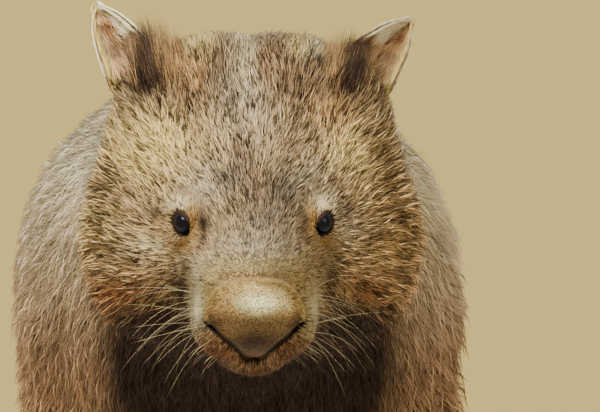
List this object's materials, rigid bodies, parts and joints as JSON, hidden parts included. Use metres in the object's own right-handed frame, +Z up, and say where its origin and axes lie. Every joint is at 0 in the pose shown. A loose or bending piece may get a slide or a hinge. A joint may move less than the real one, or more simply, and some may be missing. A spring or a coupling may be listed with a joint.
{
  "type": "wombat",
  "caption": "Life-size still model of a stocky furred burrowing mammal standing on all fours, head low and facing forward.",
  "frame": {"origin": "on the floor under the centre of the animal's bounding box, between the four soles", "axes": "+Z up, -Y the way the animal faces, +X to the animal's left"},
  "size_m": [0.36, 0.888, 0.3738],
  "materials": {
    "coat": "dense brown ticked fur",
    "ear": "short pale fur over thin skin",
    "nose": "bare pebbled skin, slightly moist",
    "eye": "wet gloss",
    "paw": "short fur over tough skin, bare pads",
    "claw": "smooth dark horn"
  },
  "bodies": {
    "root": {"torso": "coat", "neck": "coat", "head": "coat", "lower_jaw": "coat", "tail": "coat", "foreleg_left": "coat", "foreleg_right": "coat", "hindleg_left": "coat", "hindleg_right": "coat", "ear_left": "ear", "ear_right": "ear", "nose": "nose", "eye_left": "eye", "eye_right": "eye", "forepaw_left": "paw", "forepaw_right": "paw", "hindpaw_left": "paw", "hindpaw_right": "paw", "foreclaw_left_1": "claw", "foreclaw_left_2": "claw", "foreclaw_left_3": "claw", "foreclaw_left_4": "claw", "foreclaw_left_5": "claw", "foreclaw_right_1": "claw", "foreclaw_right_2": "claw", "foreclaw_right_3": "claw", "foreclaw_right_4": "claw", "foreclaw_right_5": "claw", "hindclaw_left_1": "claw", "hindclaw_left_2": "claw", "hindclaw_left_3": "claw", "hindclaw_left_4": "claw", "hindclaw_right_1": "claw", "hindclaw_right_2": "claw", "hindclaw_right_3": "claw", "hindclaw_right_4": "claw"}
  },
  "joints": []
}
